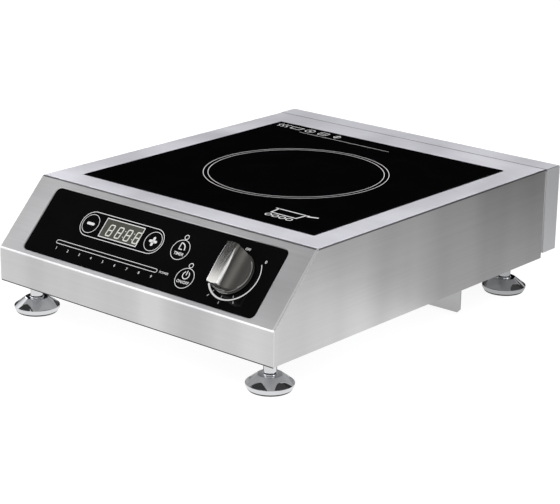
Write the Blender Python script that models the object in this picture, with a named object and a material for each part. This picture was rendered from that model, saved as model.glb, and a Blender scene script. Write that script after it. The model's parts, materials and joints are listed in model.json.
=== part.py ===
"""Countertop induction hob for a restaurant kitchen: folded steel case, ceramic glass top, sloping
control fascia with one rotary knob, induction coil, power electronics, cooling fan and four
screw-adjusted feet.

Metres, +Z up. The user stands at -Y. Depths are counted from the front plane of the apron.
"""
import bmesh
import bpy
from math import atan2, cos, pi, radians, sin, sqrt
from mathutils import Matrix, Vector

# ---- driving dimensions -------------------------------------------------------------------------
WIDTH = 0.340
SHEET = 0.0012                      # steel sheet of the case
GAP = 0.0003                        # clearance between pieces that touch
BODY_BOTTOM = 0.0320                # underside of the case above the worktop
APRON_TOP = 0.0635                  # lower bend of the fascia
TOP_Z = 0.1226                      # steel top
FASCIA_DEPTH = 0.0567               # depth of the upper bend of the fascia
MAIN_DEPTH = 0.4047                 # rear edge of the main cover
TOTAL_DEPTH = 0.4290                # rear wall of the rear cover
SEAM = 0.0005                       # joint between main cover and rear cover
REAR_BOTTOM = 0.0372                # lower edge of the rear cover
REAR_PROUD = 0.0012                 # the rear cover's sides stand outside those of the main cover
BEND_R = 0.0014
MIDDLE = 0.22113                    # depth of the middle of the whole length: the origin

GLASS_X, GLASS_Y, GLASS_T = 0.2842, 0.2886, 0.0040
GLASS_DEPTH = 0.2279                # depth of the glass centre
GLASS_PROUD = 0.0005
GLASS_CUT = 0.0007                  # cut-out clearance round the glass
GLASS_UNDER = TOP_Z + GLASS_PROUD - GLASS_T

PANEL_X, PANEL_Y, PANEL_T, PANEL_R = 0.2848, 0.0676, 0.0025, 0.0050
PANEL_V = 0.0396                    # panel centre, up the slope from the lower bend
PANEL_SUNK = 0.0004
PANEL_CUT = 0.0005

KNOB_X, KNOB_V, KNOB_R, KNOB_H = 0.1004, 0.0396, 0.0207, 0.0220

FOOT_X, FOOT_DEPTHS = 0.1462, (0.0235, 0.3775)
FOOT_RIM, FOOT_RIM_Z, FOOT_TOP_R, FOOT_TOP_Z = 0.0215, 0.0059, 0.0108, 0.0142
FOOT_FLAT_LOW, FOOT_FLAT_TOP = 0.94 * FOOT_RIM, FOOT_TOP_R + 0.0006
FOOT_CORNER = radians(-49.7)        # direction of one corner between flats

COIL_DEPTH, COIL_INNER, COIL_OUTER = 0.2298, 0.0280, 0.0980
MICA_TOP, MICA_T = GLASS_UNDER - GAP, 0.0008
COIL_TOP, COIL_T = MICA_TOP - MICA_T - 0.0005, 0.0040
CARRIER_TOP, CARRIER_T = COIL_TOP - COIL_T - GAP, 0.0059
BRIDGE_Z, BRIDGE_DEPTHS = CARRIER_TOP - 0.0139, (0.176, 0.284)
BOARD = ((-0.060, 0.190), (0.150, 0.362))           # power board corners: (x, depth)
BOARD_Z = BODY_BOTTOM + 0.0113
SINK_LOW = BOARD_Z + 0.0060
FAN_X, FAN_DEPTH, FAN_SIDE, FAN_H = -0.085, 0.110, 0.120, 0.025
GLAND_X, GLAND_Z = -0.135, BODY_BOTTOM + 0.0273
REAR_SCREW_X, REAR_SCREW_Z = 0.155, TOP_Z - 0.0303
BAFFLE_DEPTH, BAFFLE_DROP, BAFFLE_HALF = 0.2790, 0.0267, 0.1630

# ---- frames -------------------------------------------------------------------------------------
SLOPE = atan2(TOP_Z - APRON_TOP, FASCIA_DEPTH)
FASCIA = Matrix.Translation((0, -MIDDLE, APRON_TOP)) @ Matrix.Rotation(SLOPE, 4, "X")
ALONG_Y = Matrix.Rotation(-pi / 2, 4, "X")          # turns a shape's +Z to +Y
TRAY_TOP = BODY_BOTTOM + SHEET


def at(x, depth, z):
    """A place in the object from its x, its depth behind the apron and its height."""
    return Matrix.Translation((x, depth - MIDDLE, z))


# ---- materials ----------------------------------------------------------------------------------
def material(name, colour, metallic, roughness):
    mat = bpy.data.materials.new(name)
    mat.use_nodes = True
    shader = mat.node_tree.nodes["Principled BSDF"]
    shader.inputs["Base Color"].default_value = (*colour, 1)
    shader.inputs["Metallic"].default_value = metallic
    shader.inputs["Roughness"].default_value = roughness
    mat.diffuse_color = (*colour, 1)
    return mat


# ---- shapes: each returns (vertices, faces) -----------------------------------------------------
def block(low, high):
    verts = [(x, y, z) for z in (low[2], high[2]) for y in (low[1], high[1]) for x in (low[0], high[0])]
    return verts, [(0, 1, 3, 2), (4, 5, 7, 6), (0, 1, 5, 4), (2, 3, 7, 6), (0, 2, 6, 4), (1, 3, 7, 5)]


def prism(outline, low, high):
    """An outline in X and Y, carried from z = low to z = high."""
    count = len(outline)
    verts = [(x, y, z) for z in (low, high) for x, y in outline]
    sides = [(i, (i + 1) % count, (i + 1) % count + count, i + count) for i in range(count)]
    return verts, [tuple(range(count)), tuple(range(count, 2 * count)), *sides]


def turned(profile, segments):
    """(radius, z) points turned about Z. Points on the axis close the shape; without them the
    profile is a closed loop and the shape is a ring."""
    verts, rings = [], []
    for radius, z in profile:
        steps = 1 if radius == 0 else segments
        rings.append([len(verts) + k for k in range(steps)])
        verts += [(radius * cos(2 * pi * k / steps), radius * sin(2 * pi * k / steps), z)
                  for k in range(steps)]
    pairs = list(zip(rings, rings[1:]))
    if profile[0][0] > 0:
        pairs.append((rings[-1], rings[0]))
    faces = []
    for first, second in pairs:
        for k in range(segments):
            here = [first[k % len(first)], first[(k + 1) % len(first)]]
            there = [second[(k + 1) % len(second)], second[k % len(second)]]
            face = list(dict.fromkeys(here + there))
            if len(face) > 2:
                faces.append(tuple(face))
    return verts, faces


def rod(radius, low, high, segments=20):
    return turned([(0, low), (radius, low), (radius, high), (0, high)], segments)


def tube(outer, inner, low, high, segments=28):
    return turned([(outer, low), (outer, high), (inner, high), (inner, low)], segments)


def mitred_frame(section, half_x, half_y):
    """A closed section of (distance outwards from a rectangle, z) carried round that rectangle."""
    count = len(section)
    verts = [(sx * (half_x + out), sy * (half_y + out), z)
             for sx, sy in ((-1, -1), (1, -1), (1, 1), (-1, 1)) for out, z in section]
    faces = [(c * count + i, c * count + (i + 1) % count,
              (c + 1) % 4 * count + (i + 1) % count, (c + 1) % 4 * count + i)
             for c in range(4) for i in range(count)]
    return verts, faces


def rounded_rectangle(size_x, size_y, radius, steps=4, centre=(0, 0)):
    points = []
    for quarter, (sx, sy) in enumerate(((1, 1), (-1, 1), (-1, -1), (1, -1))):
        for step in range(steps + 1):
            angle = (quarter + step / steps) * pi / 2
            points.append((centre[0] + sx * (size_x / 2 - radius) + radius * cos(angle),
                           centre[1] + sy * (size_y / 2 - radius) + radius * sin(angle)))
    return points


def polygon(sides, radius, phase=0.0):
    return [(radius * cos(phase + 2 * pi * k / sides), radius * sin(phase + 2 * pi * k / sides))
            for k in range(sides)]


def several(shapes):
    """Joins shapes that don't touch into one."""
    verts, faces = [], []
    for more_verts, more_faces in shapes:
        start = len(verts)
        verts += more_verts
        faces += [tuple(start + i for i in face) for face in more_faces]
    return verts, faces


def placed(shape, place):
    return [tuple(place @ Vector(v)) for v in shape[0]], shape[1]


# ---- objects ------------------------------------------------------------------------------------
def piece(name, shape, finish=None, place=Matrix(), parent=None):
    mesh = bpy.data.meshes.new(name)
    mesh.from_pydata(shape[0], [], shape[1])
    form = bmesh.new()
    form.from_mesh(mesh)
    bmesh.ops.recalc_face_normals(form, faces=form.faces)
    form.to_mesh(mesh)
    form.free()
    mesh.shade_smooth()
    mesh.set_sharp_from_angle(angle=radians(30))
    obj = bpy.data.objects.new(name, mesh)
    bpy.context.scene.collection.objects.link(obj)
    if finish:
        mesh.materials.append(finish)
    obj.parent = parent
    obj.matrix_world = place
    return obj


def combine(target, operation, shape, place=Matrix()):
    """Adds, cuts or keeps the common part of a target and a tool shape."""
    tool = piece(f"tool_{target.name}_{len(target.modifiers)}", shape, place=place)
    tool.hide_render = True
    tool.display_type = "WIRE"
    change = target.modifiers.new(tool.name, "BOOLEAN")
    change.operation = operation
    change.solver = "EXACT"
    change.object = tool


def cut(target, shape, place=Matrix()):
    combine(target, "DIFFERENCE", shape, place)


def add(target, shape, place=Matrix()):
    combine(target, "UNION", shape, place)


def round_edges(obj, width, segments, wanted):
    """Rounds the edges whose two ends satisfy wanted(point, point), for straight-sided shells."""
    form = bmesh.new()
    form.from_mesh(obj.data)
    edges = [e for e in form.edges if wanted(e.verts[0].co, e.verts[1].co)]
    bmesh.ops.bevel(form, geom=edges, offset=width, segments=segments, profile=0.5, affect="EDGES")
    form.to_mesh(obj.data)
    form.free()


# ---- case ---------------------------------------------------------------------------------------
def side_profile(inset, rear, bottom):
    """The case seen from the side as (depth - MIDDLE, z), moved inwards by inset."""
    low_shift = inset * (1 - cos(pi / 2 - SLOPE)) / sin(pi / 2 - SLOPE)
    top_shift = inset * (1 - cos(SLOPE)) / sin(SLOPE)
    return [(inset - MIDDLE, bottom), (inset - MIDDLE, APRON_TOP - low_shift),
            (FASCIA_DEPTH + top_shift - MIDDLE, TOP_Z - inset), (rear - MIDDLE, TOP_Z - inset),
            (rear - MIDDLE, bottom)]


def case_solid(inset, rear, bottom):
    half = WIDTH / 2 - inset
    outline = side_profile(inset, rear, bottom)
    verts = [(x, y, z) for x in (-half, half) for y, z in outline]
    return verts, prism(outline, 0, 1)[1]


def make_top_cover(steel):
    cover = piece("top_cover", case_solid(0, MAIN_DEPTH, BODY_BOTTOM), steel)
    rear = MAIN_DEPTH - MIDDLE

    def folded(a, b):
        on_bottom = abs(a.z - BODY_BOTTOM) < 1e-6 and abs(b.z - BODY_BOTTOM) < 1e-6
        on_rear = abs(a.y - rear) < 1e-6 and abs(b.y - rear) < 1e-6
        return not on_bottom and not on_rear

    round_edges(cover, BEND_R, 4, folded)
    cut(cover, case_solid(SHEET, MAIN_DEPTH + 0.01, BODY_BOTTOM - 0.01))
    cut(cover, prism(rounded_rectangle(GLASS_X + 2 * GLASS_CUT, GLASS_Y + 2 * GLASS_CUT, 0.0015, 2),
                     TOP_Z - 0.003, TOP_Z + 0.003), at(0, GLASS_DEPTH, 0))
    cut(cover, prism(rounded_rectangle(PANEL_X + 2 * PANEL_CUT, PANEL_Y + 2 * PANEL_CUT,
                                       PANEL_R + PANEL_CUT, 5, (0, PANEL_V)), -0.003, 0.003), FASCIA)


def make_rear_cover(steel):
    half, front, rear = WIDTH / 2 + REAR_PROUD, MAIN_DEPTH + SEAM - MIDDLE, TOTAL_DEPTH - MIDDLE
    cover = piece("rear_cover", block((-half, front, REAR_BOTTOM), (half, rear, TOP_Z)), steel)

    def folded(a, b):
        on_bottom = max(a.z, b.z) < REAR_BOTTOM + 1e-6
        on_front = max(a.y, b.y) < front + 1e-6
        return not on_bottom and not on_front

    round_edges(cover, BEND_R, 3, folded)
    cut(cover, block((-half + SHEET, front - 0.01, REAR_BOTTOM + SHEET),
                     (half - SHEET, rear - SHEET, TOP_Z - SHEET)))
    slots, pitch, slot_w = 19, 0.011, 0.004
    slot_low, slot_high = REAR_BOTTOM + 0.0261, TOP_Z - 0.0173
    cut(cover, several([block(((k - slots // 2) * pitch - slot_w / 2, rear - 0.004, slot_low),
                              ((k - slots // 2) * pitch + slot_w / 2, rear + 0.004, slot_high))
                        for k in range(slots)]))
    gland_hole = placed(rod(0.0081, -0.004, 0.004), at(GLAND_X, TOTAL_DEPTH, GLAND_Z) @ ALONG_Y)
    screw_holes = [placed(rod(0.0023, -0.004, 0.004, 12),
                          at(side * REAR_SCREW_X, TOTAL_DEPTH, REAR_SCREW_Z) @ ALONG_Y) for side in (-1, 1)]
    cut(cover, several([gland_hole, *screw_holes]))


def intake_slots():
    """Slots of a round grille below the fan, with a rib down the middle."""
    radius, pitch, slot_w, rib = 0.053, 0.0104, 0.0056, 0.007
    shapes = []
    for row in range(-4, 5):
        reach = sqrt(radius ** 2 - (row * pitch) ** 2)
        length = reach - rib / 2
        for side in (-1, 1):
            outline = rounded_rectangle(length, slot_w, slot_w / 3, 1,
                                        (side * (rib / 2 + length / 2), row * pitch))
            shapes.append(placed(prism(outline, -0.004, 0.004), at(FAN_X, FAN_DEPTH, BODY_BOTTOM)))
    return several(shapes)


def exhaust_slots():
    shapes = []
    for column in range(-4, 5):
        outline = rounded_rectangle(0.005, 0.060, 0.0017, 1, (column * 0.024, 0))
        shapes.append(placed(prism(outline, -0.004, 0.004), at(0, 0.345, BODY_BOTTOM)))
    return several(shapes)


def make_base_tray(steel):
    half, front, rear = WIDTH / 2 - SHEET - GAP, SHEET + GAP - MIDDLE, MAIN_DEPTH - GAP - MIDDLE
    flange_z, wall_z, overlap = BODY_BOTTOM + 0.0133, TOP_Z - 0.0033, 0.0004
    window_x, window_z, window_w, window_h = 0.080, (flange_z + wall_z) / 2 - 0.003, 0.130, 0.060
    tray = piece("base_tray", block((-half, front, BODY_BOTTOM), (half, rear, flange_z)), steel)
    cut(tray, block((-half + SHEET, front + SHEET, TRAY_TOP), (half - SHEET, rear - SHEET, flange_z + 0.01)))
    add(tray, block((-half, rear - SHEET, flange_z - overlap), (half, rear, wall_z)))
    add(tray, several([placed(rod(0.0045, -overlap, TOTAL_DEPTH - MAIN_DEPTH - SHEET, 16),
                              at(side * REAR_SCREW_X, MAIN_DEPTH - GAP, REAR_SCREW_Z) @ ALONG_Y)
                       for side in (-1, 1)]))
    add(tray, several([placed(rod(0.0035, TRAY_TOP - overlap, BOARD_Z - GAP, 12), at(x, depth, 0))
                       for x in (BOARD[0][0] + 0.006, BOARD[1][0] - 0.006)
                       for depth in (BOARD[0][1] + 0.006, BOARD[1][1] - 0.006)]))
    upright = Matrix.Translation((0, rear, 0)) @ Matrix.Rotation(pi / 2, 4, "X")
    windows = [rounded_rectangle(window_w, window_h, 0.004, 3, (side * window_x, window_z))
               for side in (-1, 1)]
    cut(tray, several([placed(prism(window, -0.004, 0.004), upright) for window in windows]))
    screw_bores = [placed(rod(0.0022, 0, 0.03, 12),
                          at(side * REAR_SCREW_X, TOTAL_DEPTH - 0.018, REAR_SCREW_Z) @ ALONG_Y)
                   for side in (-1, 1)]
    stud_holes = [placed(rod(0.0045, -0.004, 0.004, 16), at(side * FOOT_X, depth, BODY_BOTTOM))
                  for side in (-1, 1) for depth in FOOT_DEPTHS]
    cut(tray, several([intake_slots(), exhaust_slots(), *screw_bores, *stud_holes]))


def make_air_baffle(steel):
    """A hanging plate that keeps warm exhaust air from the intake, with a fixing flange."""
    top, bottom, corner, flange = BODY_BOTTOM - GAP, BODY_BOTTOM - BAFFLE_DROP, 0.0035, 0.016
    outline = [(-BAFFLE_HALF, top), (-BAFFLE_HALF, bottom + corner), (-BAFFLE_HALF + corner, bottom),
               (BAFFLE_HALF - corner, bottom), (BAFFLE_HALF, bottom + corner), (BAFFLE_HALF, top)]
    baffle = piece("air_baffle", prism(outline, -SHEET, 0), steel,
                   at(0, BAFFLE_DEPTH, 0) @ Matrix.Rotation(pi / 2, 4, "X"))
    start = BAFFLE_DEPTH - MIDDLE
    add(baffle, block((-BAFFLE_HALF, start + SHEET / 2, top - SHEET), (BAFFLE_HALF, start + flange, top)))


def make_screw(name, x, steel):
    """Pan-head screw that holds the rear cover to the base tray."""
    head = [(0, -0.011), (0.0019, -0.011), (0.0019, 0.0003), (0.0037, 0.0003), (0.0036, 0.0016),
            (0.0028, 0.0024), (0, 0.0024)]
    screw = piece(name, turned(head, 14), steel, at(x, TOTAL_DEPTH, REAR_SCREW_Z) @ ALONG_Y)
    cut(screw, block((-0.0020, -0.0004, 0.0014), (0.0020, 0.0004, 0.004)), screw.matrix_world.copy())


# ---- glass --------------------------------------------------------------------------------------
def make_glass(finishes):
    under_sheet = TOP_Z - SHEET - GAP
    plate = piece("glass_plate", prism(rounded_rectangle(GLASS_X, GLASS_Y, 0.0010, 2), GLASS_UNDER,
                                       TOP_Z + GLASS_PROUD), finishes["glass"], at(0, GLASS_DEPTH, 0))
    bevel = plate.modifiers.new("ground edge", "BEVEL")
    bevel.width = 0.0003
    bevel.segments = 2
    bevel.limit_method = "ANGLE"
    ledge_top = GLASS_UNDER - 0.0016
    section = [(0.010, under_sheet), (0.010, under_sheet - SHEET), (0.0022, under_sheet - SHEET),
               (0.0022, ledge_top - SHEET), (-0.011, ledge_top - SHEET), (-0.011, ledge_top),
               (0.0010, ledge_top), (0.0010, under_sheet)]
    piece("glass_frame", mitred_frame(section, GLASS_X / 2, GLASS_Y / 2), finishes["steel"],
          at(0, GLASS_DEPTH, 0))
    seal = [(0.0004, ledge_top + GAP), (0.0004, GLASS_UNDER - GAP), (-0.010, GLASS_UNDER - GAP),
            (-0.010, ledge_top + GAP)]
    piece("glass_seal", mitred_frame(seal, GLASS_X / 2, GLASS_Y / 2), finishes["rubber"],
          at(0, GLASS_DEPTH, 0))


# ---- control panel ------------------------------------------------------------------------------
def make_controls(finishes):
    """Everything carried by the sloping fascia, in its own frame: X across, Y up the slope, Z out."""
    panel = piece("control_panel", prism(rounded_rectangle(PANEL_X, PANEL_Y, PANEL_R, 5, (0, PANEL_V)),
                                         -PANEL_SUNK - PANEL_T, -PANEL_SUNK), finishes["panel"], FASCIA)
    axis = FASCIA @ Matrix.Translation((KNOB_X, KNOB_V, -PANEL_SUNK))
    cut(panel, rod(0.0049, -0.006, 0.006, 24), axis)

    back = -PANEL_SUNK - PANEL_T - GAP
    section = [(0.0040, -SHEET - GAP), (0.0040, -2 * SHEET - GAP), (0.0020, -2 * SHEET - GAP),
               (0.0020, back - 0.0015), (-0.0080, back - 0.0015), (-0.0080, back), (0.0008, back),
               (0.0008, -SHEET - GAP)]
    carrier = piece("panel_carrier", mitred_frame(section, PANEL_X / 2, PANEL_Y / 2), finishes["plastic"],
                    FASCIA @ Matrix.Translation((0, PANEL_V, 0)))
    board_z = -0.0112
    add(carrier, several([placed(rod(0.0022, board_z + GAP, back - 0.0008, 12),
                                 Matrix.Translation((x, PANEL_V + side * (PANEL_Y / 2 - 0.004), 0)))
                          for x in (-0.125, 0.075) for side in (-1, 1)]), FASCIA)

    piece("display_module", block((-0.0694, 0.0368, board_z + GAP), (-0.0174, 0.0587, back - GAP)),
          finishes["display"], FASCIA)
    piece("control_board", block((-0.132, 0.0080, board_z - 0.0016), (0.084, 0.0730, board_z)),
          finishes["board"], FASCIA)

    body = piece("encoder_body", block((-0.0068, -0.0068, -0.0108), (0.0068, 0.0068, -PANEL_T - GAP)),
                 finishes["zinc"], axis)
    add(body, rod(0.0045, -PANEL_T - 0.0008, 0.0028, 20), axis)
    cut(body, rod(0.0033, -0.0085, 0.006, 20), axis)
    nut = piece("encoder_nut", prism(polygon(6, 0.0074), GAP, 0.0021), finishes["zinc"], axis)
    cut(nut, rod(0.0048, -0.003, 0.006, 20), axis)

    knob = make_knob(finishes["knob"], axis)
    piece("encoder_shaft", rod(0.0030, -0.0080, 0.0142, 20), finishes["zinc"], axis, knob)


def make_knob(finish, axis):
    """A turned cap scooped away on both sides, which leaves a grip bar across it.
    The bar points up the slope at OFF. The knob's origin is on its axis, at the panel's face."""
    low, ring_top, scoop_low, half_bar = 0.0010, 0.0026, 0.0048, 0.0050
    cap = [(0, low), (KNOB_R, low), (KNOB_R, ring_top), (KNOB_R - 0.0008, ring_top + 0.0002),
           (KNOB_R - 0.0008, ring_top + 0.0008), (KNOB_R - 0.0002, ring_top + 0.0010),
           (KNOB_R - 0.0002, KNOB_H - 0.0006), (KNOB_R - 0.0008, KNOB_H), (0, KNOB_H)]
    knob = piece("knob", turned(cap, 44), finish, axis)
    rim = KNOB_R - 0.0002
    chamfer = 0.0011
    shoulder, depth = half_bar + chamfer, KNOB_H - chamfer - scoop_low
    scoop = [(rim - (rim - shoulder) * cos(t * pi / 14), KNOB_H - chamfer - depth * sin(t * pi / 14))
             for t in range(8)]
    right = [(half_bar, KNOB_H + 0.001), (half_bar, KNOB_H), *scoop, (KNOB_R + 0.003, scoop_low),
             (KNOB_R + 0.003, -0.002)]
    outline = right + [(-x, z) for x, z in reversed(right)]
    lengthwise = Matrix.Rotation(pi / 2, 4, "X")
    combine(knob, "INTERSECT", prism(outline, -0.03, 0.03), axis @ lengthwise)
    cut(knob, turned([(0, -0.001), (0.0082, -0.001), (0.0082, 0.0033), (0.0033, 0.0033), (0.0033, 0.0145),
                      (0, 0.0145)], 24), axis)
    return knob


# ---- induction coil -----------------------------------------------------------------------------
def make_coil(finishes):
    centre = at(0, COIL_DEPTH, 0)
    piece("mica_sheet", tube(0.105, 0.012, MICA_TOP - MICA_T, MICA_TOP, 36), finishes["mica"], centre)

    coil_low, rings, groove, land = COIL_TOP - COIL_T, 2, 0.0008, 0.0012
    width = (COIL_OUTER - COIL_INNER) / rings
    crest = []
    for ring in range(rings):
        start = COIL_INNER + ring * width
        crest += [(start + land, COIL_TOP), (start + width - land, COIL_TOP)]
        if ring < rings - 1:
            crest.append((start + width, COIL_TOP - groove))
    section = [(COIL_INNER, coil_low), (COIL_INNER, COIL_TOP - groove), *crest,
               (COIL_OUTER, COIL_TOP - groove), (COIL_OUTER, coil_low)]
    piece("induction_coil", turned(section, 36), finishes["copper"], centre)

    arm_low, arm_high, arms = CARRIER_TOP - CARRIER_T, CARRIER_TOP, 8
    carrier = piece("coil_carrier", tube(0.103, 0.095, arm_low, arm_high, 32), finishes["plastic"], centre)
    add(carrier, tube(0.032, 0.013, arm_low + 0.0001, arm_high - 0.0001, 20), centre)
    for pair in range(arms // 2):
        turn = Matrix.Rotation(pi * (pair + 0.5) / (arms // 2), 4, "Z")
        add(carrier, several([block((side * 0.063 - 0.037, -0.007, arm_low + 0.0002),
                                    (side * 0.063 + 0.037, 0.007, arm_high - 0.0002)) for side in (-1, 1)]),
            centre @ turn)
    add(carrier, several([placed(rod(0.004, BRIDGE_Z + GAP, arm_low + 0.001, 8), at(side * 0.082, depth, 0))
                          for side in (-1, 1) for depth in BRIDGE_DEPTHS]))

    for index in range(6):
        turn = Matrix.Rotation(pi / 3 * index, 4, "Z")
        piece(f"ferrite_bar_{index + 1}", block((0.036, -0.0065, arm_low - 0.0053),
                                                (0.078, 0.0065, arm_low - GAP)), finishes["ferrite"],
              centre @ turn)

    flange_low, flange_top, tip = arm_low - 0.0030, arm_low - 0.0006, GLASS_UNDER - 2 * GAP
    piece("temp_sensor", turned([(0, flange_low), (0.0115, flange_low), (0.0115, flange_top),
                                 (0.0085, flange_top), (0.0085, tip), (0, tip)], 24),
          finishes["silicone"], centre)

    for label, depth in zip(("front", "rear"), BRIDGE_DEPTHS):
        make_bridge(f"coil_bridge_{label}", depth, finishes["steel"])


def make_bridge(name, depth, steel):
    """A hat-shaped strip from side to side that carries the coil above the electronics."""
    foot, leg, low, half_w = 0.1660, 0.1570, TRAY_TOP + GAP, 0.014
    outer = [(-foot, low), (-leg + SHEET, low), (-leg + SHEET, BRIDGE_Z - SHEET),
             (leg - SHEET, BRIDGE_Z - SHEET), (leg - SHEET, low), (foot, low), (foot, low + SHEET),
             (leg, low + SHEET), (leg, BRIDGE_Z), (-leg, BRIDGE_Z), (-leg, low + SHEET),
             (-foot, low + SHEET)]
    piece(name, prism(outer, -half_w, half_w), steel, at(0, depth, 0) @ Matrix.Rotation(pi / 2, 4, "X"))


# ---- power electronics --------------------------------------------------------------------------
def make_power(finishes):
    thick = 0.0016
    (left, front), (right, rear) = BOARD
    piece("power_board", block((left, front - MIDDLE, BOARD_Z), (right, rear - MIDDLE, BOARD_Z + thick)),
          finishes["board"])
    seat, capacitor_top = BOARD_Z + thick + GAP, BOARD_Z + 0.034

    def on_board(name, x, depth, size_x, size_y, top, finish):
        obj = piece(name, block((-size_x / 2, -size_y / 2, seat), (size_x / 2, size_y / 2, top)), finish,
                    at(x, depth, 0))
        bevel = obj.modifiers.new("moulded edges", "BEVEL")
        bevel.width = 0.0006
        bevel.segments = 1
        bevel.limit_method = "ANGLE"

    on_board("rectifier", -0.015, 0.310, 0.030, 0.020, SINK_LOW - GAP, finishes["black"])
    on_board("igbt_1", -0.032, 0.226, 0.016, 0.021, SINK_LOW - GAP, finishes["black"])
    on_board("igbt_2", 0.002, 0.226, 0.016, 0.021, SINK_LOW - GAP, finishes["black"])
    on_board("capacitor_1", 0.055, 0.228, 0.026, 0.044, capacitor_top, finishes["capacitor"])
    on_board("capacitor_2", 0.100, 0.228, 0.026, 0.044, capacitor_top, finishes["capacitor"])

    core = [(0.018 + 0.008 * cos(k * pi / 4), seat + 0.009 + 0.009 * sin(k * pi / 4)) for k in range(8)]
    piece("choke_coil", turned(core, 24), finishes["copper"], at(0.080, 0.312, 0))

    sink_x, sink_front, sink_rear, fins, fin_t = (-0.050, 0.020), 0.202, 0.352, 10, 0.0016
    base_top, fin_top = SINK_LOW + 0.005, SINK_LOW + 0.035
    pitch = (sink_x[1] - sink_x[0] - fin_t) / (fins - 1)
    outline = [(sink_x[0], SINK_LOW), (sink_x[1], SINK_LOW)]
    for fin in reversed(range(fins)):
        start = sink_x[0] + fin * pitch
        outline += [(start + fin_t, base_top), (start + fin_t, fin_top), (start, fin_top), (start, base_top)]
    outline = [point for index, point in enumerate(outline) if index not in (2, len(outline) - 1)]
    piece("heatsink", prism(outline, -(sink_rear - sink_front), 0), finishes["aluminium"],
          at(0, sink_front, 0) @ Matrix.Rotation(pi / 2, 4, "X"))

    poles, pitch, first_x, depth, block_top = 4, 0.0095, -0.118, 0.355, TRAY_TOP + 0.0211
    low_corner = (first_x - 0.007, depth - 0.013 - MIDDLE, TRAY_TOP + GAP)
    high_corner = (first_x + 0.035, depth + 0.013 - MIDDLE, block_top)
    terminals = piece("terminal_block", block(low_corner, high_corner), finishes["plastic"])
    cut(terminals, several([placed(rod(0.0032, block_top - 0.0073, block_top + 0.003, 12),
                                   at(first_x + pole * pitch, depth, 0)) for pole in range(poles)]))


# ---- fan ----------------------------------------------------------------------------------------
def make_fan(finishes):
    low = TRAY_TOP + GAP
    centre = at(FAN_X, FAN_DEPTH, low)
    bore, hub, motor_top = 0.0575, 0.0200, 0.0050
    frame = piece("fan_frame", prism(rounded_rectangle(FAN_SIDE, FAN_SIDE, 0.005, 3), 0, FAN_H),
                  finishes["black"], centre)
    cut(frame, rod(bore, -0.01, FAN_H + 0.01, 36), centre)
    corner, hole = 0.0525, rod(0.0022, -0.01, FAN_H + 0.01, 10)
    cut(frame, several([placed(hole, Matrix.Translation((sx * corner, sy * corner, 0)))
                        for sx in (-1, 1) for sy in (-1, 1)]), centre)
    add(frame, rod(hub, 0.0004, motor_top, 24), centre)
    middle, reach = 0.0390, 0.0203
    for turn in range(2):
        spokes = [block((side * middle - reach, -0.0025, 0.0006), (side * middle + reach, 0.0025, 0.0040))
                  for side in (-1, 1)]
        add(frame, several(spokes), centre @ Matrix.Rotation(pi / 2 * turn + pi / 4, 4, "Z"))

    rotor = piece("fan_rotor", turned([(0, motor_top + 0.0010), (hub + 0.0005, motor_top + 0.0010),
                                       (hub + 0.0005, FAN_H - 0.0030), (hub - 0.0015, FAN_H - 0.0010),
                                       (0, FAN_H - 0.0010)], 24), finishes["black"], centre)
    blades, middle_z = 7, (motor_top + FAN_H) / 2
    for blade in range(blades):
        turn = Matrix.Rotation(2 * pi * blade / blades, 4, "Z")
        add(rotor, fan_blade(hub - 0.002, 0.0555, middle_z), centre @ turn)


def fan_blade(root, tip, middle_z):
    """One blade along +X, wider and flatter at its tip."""
    verts = []
    for radius, chord, pitch in ((root, 0.0170, radians(48)), (tip, 0.0270, radians(30))):
        for along, across in ((-1, -1), (1, -1), (1, 1), (-1, 1)):
            width, thick = along * chord / 2, across * 0.0008
            verts.append((radius, width * cos(pitch) - thick * sin(pitch),
                          middle_z + width * sin(pitch) + thick * cos(pitch)))
    return verts, [(0, 1, 2, 3), (4, 5, 6, 7), (0, 1, 5, 4), (1, 2, 6, 5), (2, 3, 7, 6), (3, 0, 4, 7)]


# ---- mains entry --------------------------------------------------------------------------------
def make_mains_entry(finishes):
    centre = at(GLAND_X, TOTAL_DEPTH, GLAND_Z) @ ALONG_Y
    profile = [(0.0042, -0.010), (0.0076, -0.010), (0.0076, 0.0003), (0.0100, 0.0003), (0.0100, 0.0055),
               (0.0094, 0.0110), (0.0080, 0.0140), (0.0058, 0.0152), (0.0042, 0.0152)]
    gland = piece("cable_gland", turned(profile, 16), finishes["black"], centre)
    add(gland, prism(polygon(6, 0.0122), 0.0006, 0.0052), centre)
    cut(gland, rod(0.0041, -0.02, 0.02, 16), centre)
    nut = piece("gland_nut", prism(polygon(6, 0.0115), -0.0066, -SHEET - GAP), finishes["black"], centre)
    cut(nut, rod(0.0081, -0.02, 0.02, 28), centre)


# ---- feet ---------------------------------------------------------------------------------------
def wrench_flats(low, high):
    """A six-sided pyramid without its point, slightly steeper than the foot's cone, which shaves
    an arched flat off each sixth of it. One corner lies between the front and right-hand sides."""
    verts = []
    for z in (low, high):
        part = (z - FOOT_RIM_Z) / (FOOT_TOP_Z - FOOT_RIM_Z)
        apothem = FOOT_FLAT_LOW + (FOOT_FLAT_TOP - FOOT_FLAT_LOW) * part
        verts += [(x, y, z) for x, y in polygon(6, apothem / cos(pi / 6), FOOT_CORNER)]
    return verts, prism(polygon(6, 1), 0, 1)[1]


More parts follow.
